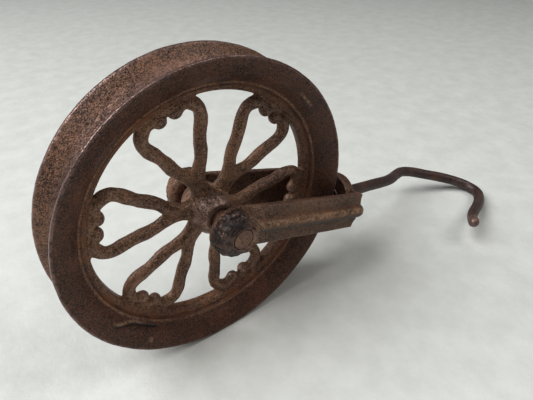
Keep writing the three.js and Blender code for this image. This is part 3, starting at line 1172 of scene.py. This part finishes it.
    def land(self) -> Shell:
        """The ring's inner land, which the curls run into."""
        inner, outer = self.bore, self.bore + 3.5
        corners = [((inner, -4.6), 1.0), ((outer, -7.2), 0.5), ((outer, 7.2), 0.5), ((inner, 4.6), 1.0)]
        return turned(rounded_section(corners, 1.5), 360)

    def spider(self) -> bpy.types.Object:
        """The hub and the six lyres, poured in one with the ring's land."""
        copies = CopyRing(self.spokes, self.phase).of(self.lyre(), self.finishes.made["wheel_casting"])
        skin = Skin(cast_whole(copies.joined(self.hub(), self.land()), self.voxel))
        skin.smooth(4).soften(3)
        points = skin.points
        out = off_axis(points)
        skin.mark_wear(10, 0.5)
        keep = 1 - ramp(out, 112, 115)
        waves = layered_noise(points, 19.0, seed=5) * 0.75 + layered_noise(points, 5.0, seed=11, layers=2) * 0.2
        calm = 1 - 0.7 * ramp(out, self.hub_radius + 2, self.hub_radius)
        skin.raise_by(waves * keep * calm * ramp(out, self.hub_bore + 1.5, self.hub_bore + 5))
        widen = np.maximum(1, (self.hub_bore + 0.1) / np.maximum(off_axis(skin.points), 1))
        skin.points[:, [0, 2]] *= widen[:, None]
        on_hub = ramp(out, self.hub_radius + 5, self.hub_radius - 1)
        # Paler over the spokes and more on the hub: painted light.
        skin.mark(Mark.PALE, 0.7 * ramp(out, 121, 113) + 0.3 * on_hub)
        # Bare colour on the hub's ends: wear and a painted sheen.
        skin.mark(Mark.WORN, 0.75 * on_hub * ramp(np.abs(points[:, 1]), 7, 12))
        piece = skin.done("wheel_spider", self.place)
        arms = [f"spoke_{n}_{side}_arm" for n in range(1, self.spokes + 1) for side in ("left", "right")]
        return self.finishes.dress(piece, "wheel_casting", "wheel", "wheel_hub", *arms)

    def build(self) -> list[bpy.types.Object]:
        """Builds the wheel's pieces."""
        return [self.rim(), self.spider()]


# The yoke


@dataclass
class Yoke:
    """The yoke: two ribbed legs with ear bosses, and a crown with a round eye.

    Attributes:
        place: Its frame, with X towards the hook and Y along the axle.
        finishes: The finishes to dress it in.
        hole_sides: Corners of the two holes' sections.
        voxel: Size of the casting's faces.
    """

    place: Matrix
    finishes: Finishes
    inside: float = 32.6
    thickness: float = 7.0
    height: float = 43.0
    crown_inner: float = 172.0
    crown_thickness: float = 8.0
    crown_slope: float = 6.0
    rib_half: float = 6.75
    rib_rise: float = 6.2
    ear_radius: float = 24.0
    ear_end: float = 57.1
    pin_bore: float = 10.3
    eye_radius: float = 28.0
    eye_bore: float = 10.0
    eye_low: float = 168.0
    eye_high: float = 182.0
    hole_sides: int = 64
    voxel: float = 1.0

    def leg(self, side: Side) -> Shell:
        """A leg: a flat strap from the ear to the crown."""
        half = self.height / 2
        low, high = sorted((side.value * self.inside, side.value * (self.inside + self.thickness)))
        outline = rounded([(low, -half), (high, -half), (high, half), (low, half)], [1.2] * 4, step=2.0)
        stations = np.arange(4.0, self.crown_inner + 5, 4.0)
        rings = [[(x, y, z) for y, z in outline] for x in stations]
        return lofted(np.array(rings))

    def rib_section(self) -> Outline:
        """A rib's section: (height, rise) from foot to foot, with its foot sunk in the strap."""
        half, rise = self.rib_half, self.rib_rise
        arc = [(-half * math.cos(a), rise * math.sin(a) ** 0.8) for a in np.linspace(0.12, math.pi - 0.12, 13)]
        return [(-half, -2.0), *arc, (half, -2.0)]

    def rib(self) -> Shell:
        """The rib, all in one: along the near leg, round the crown and back along the far leg."""
        outer = self.inside + self.thickness
        face = self.crown_inner + self.crown_thickness
        path = rounded(
            [(10.0, -outer), (face, -outer), (face, outer), (10.0, outer)], [0.0, 4.0, 4.0, 0.0], step=3.0
        )
        line = np.array(path)
        start = int(np.argmin(np.hypot(line[:, 0] - 10, line[:, 1] + outer)))
        line = np.roll(line, -start, axis=0)
        last = int(np.argmin(np.hypot(line[:, 0] - 10, line[:, 1] - outer)))
        line = line[: last + 1]
        ahead = np.gradient(line, axis=0)
        ahead /= np.linalg.norm(ahead, axis=1)[:, None]
        away = np.stack([ahead[:, 1], -ahead[:, 0]], axis=1)
        section = self.rib_section()
        rings = [
            [(point[0] + rise * out[0], point[1] + rise * out[1], height) for height, rise in section]
            for point, out in zip(line, away)
        ]
        return lofted(np.array(rings))

    def ear(self, side: Side) -> Shell:
        """An ear: a rough domed boss round the pin."""
        radius, start, end, sign = self.ear_radius, self.inside, self.ear_end, side.value
        corners = [
            ((self.pin_bore, start), 0.4), ((radius - 4, start), 1.5), ((radius, start + 5), 3.0),
            ((radius, end - 10), 7.0), ((radius - 5, end - 2.6), 5.0), ((self.pin_bore + 1.2, end), 0.8),
            ((self.pin_bore, end - 0.8), 0.4),
        ]
        corners = [((out, y * sign), fillet) for (out, y), fillet in corners]
        return turned(rounded_section(corners[::-1] if side is Side.FAR else corners, 1.5), 96)

    def crown(self) -> Shell:
        """The crown's plate; poured() joins the round eye to it and cuts the hook's hole through both."""
        half, inner, outer = self.height / 2, self.crown_inner, self.crown_inner + self.crown_thickness
        corners = [
            (inner, -half), (outer - self.crown_slope - 1, -half), (outer, -half / 2), (outer, half / 3),
            (outer - self.crown_slope, half), (inner, half),
        ]
        outline = rounded(corners, [1.0, 2.0, 4.0, 4.0, 1.5, 1.0], step=2.0)
        reach = self.inside + self.thickness
        stations = [(-reach, 2.0), (-reach + 1, 0.6), *((y, 0.0) for y in np.arange(-36, 37, 4.0))]
        stations += [(reach - 1, 0.6), (reach, 2.0)]
        middle = np.array([inner + self.crown_thickness / 2, 0.0])
        rings = []
        for y, inset in stations:
            section = np.array(outline)
            shrink = 1 - inset / np.maximum(np.linalg.norm(section - middle, axis=1), inset + 1)
            section = middle + (section - middle) * shrink[:, None]
            rings.append([(x, y, z) for x, z in section])
        return lofted(np.array(rings))

    def eye(self) -> Shell:
        """The round eye, with a raised lip on its inner face."""
        radius, low, high = self.eye_radius, self.eye_low, self.eye_high
        corners = [
            ((self.eye_bore, low + 1.5), 1.0), ((radius - 3.5, low + 1.5), 0.6), ((radius - 3, low), 0.6),
            ((radius, low), 1.0), ((radius, high), 2.0), ((self.eye_bore, high), 1.0),
        ]
        return turned(rounded_section(corners, 1.5), 96).moved(Matrix.Rotation(math.radians(-90), 4, "Z"))

    def hole(self) -> Shell:
        """The space that the hook's shank passes through, along X."""
        bar = round_bar([(self.eye_bore, self.eye_low - 10), (self.eye_bore, self.eye_high + 10)], self.hole_sides)
        return Shell(bar.points[:, [1, 0, 2]] * np.array([1, 1, -1]), bar.faces)

    def pin_hole(self) -> Shell:
        """The space that the pin passes through."""
        reach = self.ear_end + 10
        return round_bar([(self.pin_bore, -reach), (self.pin_bore, reach)], self.hole_sides)

    def poured(self) -> Skin:
        """The whole yoke as one even skin."""
        crossing = drilled(self.crown(), self.hole()).joined(drilled(self.rib(), self.hole()))
        legs = [drilled(self.leg(side), self.pin_hole()) for side in Side]
        whole = crossing.joined(self.eye(), *legs, *(self.ear(side) for side in Side))
        return Skin(cast_whole(whole, self.voxel)).smooth(3).soften(1)

    def roughen(self, skin: Skin) -> None:
        """Dents the casting all over, and lumps and marks the ends of its ears."""
        points = skin.points
        skin.mark_wear(10, 0.5)
        out = off_axis(points)
        ear = ramp(out, self.ear_radius + 3, self.ear_radius + 1) * ramp(np.abs(points[:, 1]), 38, 42)
        bite = ear * ramp(out, 11.0, 13)
        lumps = layered_noise(points, 10.0, seed=31, layers=3)
        ridges = 0.5 - np.abs(layered_noise(points, 6.0, seed=37, layers=2))
        wrinkles = np.sin(out * 2.1 + 1.5 * layered_noise(points, 14.0, seed=39)) * ramp(points[:, 0], 4, 12)
        waves = layered_noise(points, 18.0, seed=7) * 0.4 + layered_noise(points, 5.0, seed=13, layers=2) * 0.16
        inset = ramp(points[:, 0], 181.5, 184) * 0.4
        relief = lumps * 2.4 + ridges * 2.4 + wrinkles * 0.8 - 1.8
        skin.raise_by(waves * (1 - bite) + relief * bite - inset)
        skin.points[:, 1] = np.clip(skin.points[:, 1], -self.ear_end + 0.1, self.ear_end - 0.1)
        # Bare colour on the proud parts of the ears' lumps: wear and painted light.
        skin.mark(Mark.WORN, bite * ramp(relief, -0.9, 0.2) * 0.8)
        skin.mark(Mark.HOLLOW, bite * ramp(relief, -1.2, -2.2) * 0.5)
        # A little paler all over and more near the ears: partly paler rust, partly painted light.
        skin.mark(Mark.PALE, 0.15 + 0.6 * ramp(points[:, 0], 0, 12) * ramp(points[:, 0], 42, 24))
        skin.mark(Mark.OCHRE, 0.7 * bite * ramp(wrinkles, 0.3, 0.9))
        # Darker on the near ear's side away from the hook, less on its lumps.
        grease = ear * ramp(points[:, 0], 10, -5) * ramp(out, 10.5, 12.5) * ramp(points[:, 1], -32, -36)
        skin.mark(Mark.GREASE, grease * (0.9 - 0.5 * ramp(relief, -1.2, 0.4)))

    def mark_rib(self, skin: Skin, points: Array) -> None:
        """Marks pale clay and a painted highlight along the rib's upper half, and painted shade under it.

        Args:
            skin: The yoke's skin.
            points: Its corners before they were dented.
        """
        out, height = off_axis(points), points[:, 2]
        outer = self.inside + self.thickness
        beyond = np.maximum(np.abs(points[:, 1]) - outer, points[:, 0] - self.crown_inner - self.crown_thickness)
        # Ochre on the rib's upper half: clay, and a painted highlight where light falls on top.
        clay_and_lit_rib_top = ramp(height, -0.5, 2.5) * ramp(height, self.rib_half, self.rib_half - 1.5)
        clay_and_lit_rib_top *= ramp(beyond, 1.2, 3.0) * ramp(out, self.ear_radius - 4, self.ear_radius + 4)
        skin.mark(Mark.OCHRE, clay_and_lit_rib_top)
        # Painted shade on the rib's lower half, in the grease colour.
        under = ramp(height, -0.5, -3.5) * ramp(height, -self.rib_half - 3, -self.rib_half)
        under *= ramp(beyond, -0.5, 1.0) * ramp(out, self.ear_radius, self.ear_radius + 5)
        skin.mark(Mark.GREASE, 0.8 * under)

    def build(self) -> list[bpy.types.Object]:
        """Builds the yoke, in one piece."""
        skin = self.poured()
        points = skin.points
        self.roughen(skin)
        self.mark_rib(skin, points)
        piece = skin.done("yoke_casting", self.place)
        nodes = ("near_leg", "far_leg", "near_ear_boss", "far_ear_boss", "crown")
        return [self.finishes.dress(piece, "yoke_casting", "yoke", *nodes)]


@dataclass
class AxlePin:
    """The plain pin through both ears, flush at each end.

    Attributes:
        place: The yoke's frame.
        finishes: The finishes to dress it in.
        ends: How a rounded end closes: each ring's radius and its distance from the end.
        sides: Corners of its section.
    """

    place: Matrix
    finishes: Finishes
    radius: float = 10.0
    half_length: float = 57.1
    ends: tuple[tuple[float, float], ...] = (
        (0.4, 0.0), (2.5, 0.05), (5.0, 0.12), (7.5, 0.2), (8.9, 0.35), (9.6, 0.7), (9.95, 1.4),
    )
    sides: int = 72

    def build(self) -> list[bpy.types.Object]:
        """Builds the pin, a little crowned and scratched at its ends."""
        half = self.half_length
        stations = [(radius, -half + inset) for radius, inset in self.ends]
        stations += [(self.radius, y) for y in np.linspace(-half + 2.5, half - 2.5, 70)]
        stations += [(radius, half - inset) for radius, inset in reversed(self.ends)]
        skin = Skin(round_bar(stations, self.sides).mesh("pin"))
        points = skin.points
        out = off_axis(points)
        at_end = ramp(np.abs(points[:, 1]), half - 1.5, half - 0.6)
        skin.raise_by(layered_noise(points, 5.0, seed=41, layers=2) * 0.14 - 0.16)
        skin.mark(Mark.HOLLOW, at_end * ramp(points[:, 0] - points[:, 2], 2, 9) * 0.7)
        skin.mark(Mark.PALE, at_end * 0.5)
        skin.mark(Mark.WORN, at_end * ramp(np.abs(out - 8.6), 1.2, 0.3) * 0.7)
        skin.mark(Mark.HOLLOW, at_end * ramp(out, 9.0, 9.8))
        piece = skin.done("pin", self.place)
        return [self.finishes.dress(piece, "pin_steel", "yoke", "axle_pin")]


# The hook


@dataclass
class Hook:
    """The forged hook: a round bar with a blunt tip, a washer and a riveted head.

    Attributes:
        place: Its frame, in the yoke's eye, with X along the shank.
        finishes: The finishes to dress it in.
        tail: From the eye to the inner end of the bar.
        bar_sides: Corners of the bar's section.
    """

    place: Matrix
    finishes: Finishes
    bar_radius: float = 8.0
    tip_radius: float = 7.7
    tip_reach: float = 8.4
    neck: float = 0.9
    shank: float = 129.0
    tail: float = 12.9
    washer_radius: float = 15.5
    washer_thickness: float = 3.0
    head_radius: float = 12.5
    head_height: float = 6.0
    bar_sides: int = 36

    def line(self) -> Array:
        """The bar's centre line, from its riveted end to its tip."""
        beyond = [
            (19, -2.6), (38, -7), (59, -10), (80, -5.5), (105, 8.5), (136, 28), (153, 44),
            (161, 60), (158, 75.5), (139, 87.5), (107, 98), (75, 105), (56, 110.5), (43, 118),
        ]
        points = [(along, 0.0) for along in (-self.tail, 0, self.shank / 3, 2 * self.shank / 3, self.shank)]
        points += [(self.shank + along, across) for along, across in beyond]
        flat = smooth_line([(along, -across) for along, across in points], 1.6)
        return np.column_stack([flat, np.zeros(len(flat))])

    def bar(self) -> bpy.types.Object:
        """The bar: straight, bent round and swollen to a blunt tip."""
        line = self.line()
        end, ahead = line[-1], line[-1] - line[-2]
        tip = end + ahead / np.linalg.norm(ahead) * self.tip_reach
        extra = np.linspace(0, 1, 10)[1:, None]
        bulge = end + (tip - end) * np.sin(extra * math.pi / 2)
        from_tip = np.linalg.norm(line - end, axis=1)
        neck = ramp(from_tip, 34, 12) * self.neck
        radius = self.bar_radius - neck + (self.tip_radius - self.bar_radius + self.neck) * ramp(from_tip, 9, 1)
        closing = np.sqrt(np.maximum(1 - np.sin(extra[:, 0] * math.pi / 2) ** 2, 0.002)) * self.tip_radius
        whole = np.concatenate([line, bulge])
        widths = np.concatenate([radius, closing])
        skin = Skin(BarAlongLine(self.bar_sides).along(whole, widths, self.finishes.made["hook_iron"]))
        points = skin.points
        forged = layered_noise(points, 30.0, seed=51, layers=2) * 0.4 + layered_noise(points, 8.0, seed=57) * 0.15
        skin.raise_by(forged - 0.75)
        top = ramp(layered_noise(points, 24.0, seed=61), 0.1, 0.6)
        at_tip = ramp(np.linalg.norm(points - end, axis=1), 16, 7)
        skin.mark(Mark.WORN, np.maximum(top * 0.4, at_tip * 0.6))
        skin.mark(Mark.PALE, at_tip * 0.25)
        piece = skin.done("hook_bar", self.place)
        return self.finishes.dress(piece, "hook_iron", "hook", "hook_rod")

    def round_piece(
        self, name: str, corners: Sequence[tuple[tuple[float, float], float]], seed: int, node: str
    ) -> bpy.types.Object:
        """A turned piece about the shank.

        Args:
            name: The piece's name.
            corners: Its section's (radius, distance inwards) corners, each with its rounding.
            seed: Picks its dents.
            node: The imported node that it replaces.

        Returns:
            The piece.
        """
        shell = turned(rounded_section(corners, 0.8), 72).moved(Matrix.Rotation(math.radians(90), 4, "Z"))
        skin = Skin(shell.mesh(name))
        skin.mark_wear(6, 0.2)
        skin.raise_by(layered_noise(skin.points, 7.0, seed=seed) * 0.25 - 0.1)
        piece = skin.done(name, self.place)
        return self.finishes.dress(piece, "hook_iron", "hook", node)

    def washer(self) -> bpy.types.Object:
        """The loose washer between the eye and the riveted head."""
        low = self.tail - 0.3 - self.washer_thickness
        high = low + self.washer_thickness
        inner, outer = self.bar_radius + 0.4, self.washer_radius
        corners = [((inner, high), 0.4), ((inner, low), 0.4), ((outer, low), 0.9), ((outer, high), 0.9)]
        return self.round_piece("washer", corners, 71, "swivel_washer")

    def head(self) -> bpy.types.Object:
        """The hammered head that closes the shank's end."""
        low, radius, rise = self.tail + 0.3, self.head_radius, self.head_height
        corners = [
            ((0.3, low + rise), 0.0), ((0.3, low), 0.0), ((radius, low), 0.6), ((radius - 0.8, low + rise * 0.5), 2.0),
            ((radius * 0.6, low + rise * 0.93), 3.0),
        ]
        return self.round_piece("riveted_head", corners, 73, "rivet_head")

    def build(self) -> list[bpy.types.Object]:
        """Builds the hook's pieces."""
        return [self.bar(), self.washer(), self.head()]


# The studio


@dataclass
class Studio:
    """A pale floor, soft light and the camera.

    Attributes:
        target: The wheel's centre, in metres, which the camera and the lights are placed from.
        lens: The camera's focal length, in millimetres.
        camera_offset: Where the camera is from the target, in metres.
        camera_tilt: Its turn about X, in degrees.
        camera_turn: Its turn about Z, in degrees.
        gamma: Lifts the mid tones.
        surroundings: Strength of the pale light all round.
        floor_reach: Half the floor's width, in metres.
    """

    target: Vector
    lens: float = 30.82
    camera_offset: tuple[float, float, float] = (-0.1683, -0.3162, 0.2592)
    camera_tilt: float = 54.66
    camera_turn: float = -37.05
    gamma: float = 0.86
    surroundings: float = 0.12
    floor_reach: float = 6.0

    def floor(self) -> None:
        """A wide, pale painted floor with a faint mottle."""
        reach = self.floor_reach
        mesh = bpy.data.meshes.new("floor")
        corners = [(-reach, -reach, 0), (reach, -reach, 0), (reach, reach, 0), (-reach, reach, 0)]
        mesh.from_pydata(corners, [], [(0, 1, 2, 3)])
        made, sheet, here = blank_material("painted floor")
        mottle = sheet.stretch(sheet.noise(here, 26, 6), 0.2, 0.8)
        colour = sheet.blend(mottle, paint(197, 198, 193), paint(209, 210, 205))
        sheet.surface(sheet.noise(here, 45, 8), 0.35, 0.003, Base_Color=colour, Roughness=0.55)
        mesh.materials.append(made)
        in_scene("floor", mesh)

    def light(self, name: str, offset: tuple[float, float, float], size: float, power: float, tint: Colour) -> None:
        """An area light that faces the wheel.

        Args:
            name: Its name.
            offset: Where it is, in metres from the wheel's centre.
            size: Its width.
            power: Its power in watts.
            tint: Its colour.
        """
        data = bpy.data.lights.new(name, "AREA")
        data.shape = "DISK"
        data.size = size
        data.energy = power
        data.color = tint
        item = in_scene(name, data)
        item.location = self.target + Vector(offset)
        item.rotation_euler = (-Vector(offset)).to_track_quat("-Z", "Y").to_euler()

    def lights(self) -> None:
        """A bright window on the left, a soft fill and pale surroundings."""
        self.light("window", (-1.8, 0.6, 2.4), 2.6, 146.0, (0.97, 0.98, 1.0))
        self.light("ceiling", (1.2, -0.9, 1.9), 1.6, 22.0, (1.0, 0.98, 0.96))
        world = bpy.data.worlds.new("pale room")
        world.use_nodes = True
        back = world.node_tree.nodes["Background"]
        back.inputs["Color"].default_value = (0.9, 0.93, 0.95, 1)
        back.inputs["Strength"].default_value = self.surroundings
        bpy.context.scene.world = world

    def camera(self) -> None:
        """The camera, above the near side and behind the wheel's axle."""
        data = bpy.data.cameras.new("camera")
        data.lens = self.lens
        data.sensor_width = 36.0
        item = in_scene("camera", data)
        item.location = self.target + Vector(self.camera_offset)
        item.rotation_euler = (math.radians(self.camera_tilt), 0, math.radians(self.camera_turn))
        bpy.context.scene.camera = item

    def build(self) -> None:
        """Builds the studio."""
        self.camera()
        self.floor()
        self.lights()
        view = bpy.context.scene.view_settings
        view.view_transform = "Standard"
        view.gamma = self.gamma


def main() -> None:
    """Builds every piece in order."""
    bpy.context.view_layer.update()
    wheel_place, yoke_place, hook_place = wheel_frame(), yoke_frame(), hook_frame()
    Studio(wheel_place.translation).build()
    finishes = Finishes()
    pieces = Wheel(wheel_place, finishes).build()
    pieces += Yoke(yoke_place, finishes).build()
    pieces += AxlePin(yoke_place, finishes).build()
    pieces += Hook(hook_place, finishes).build()
    log.info("%d pieces", len(pieces))


if __name__ == "__main__":
    main()
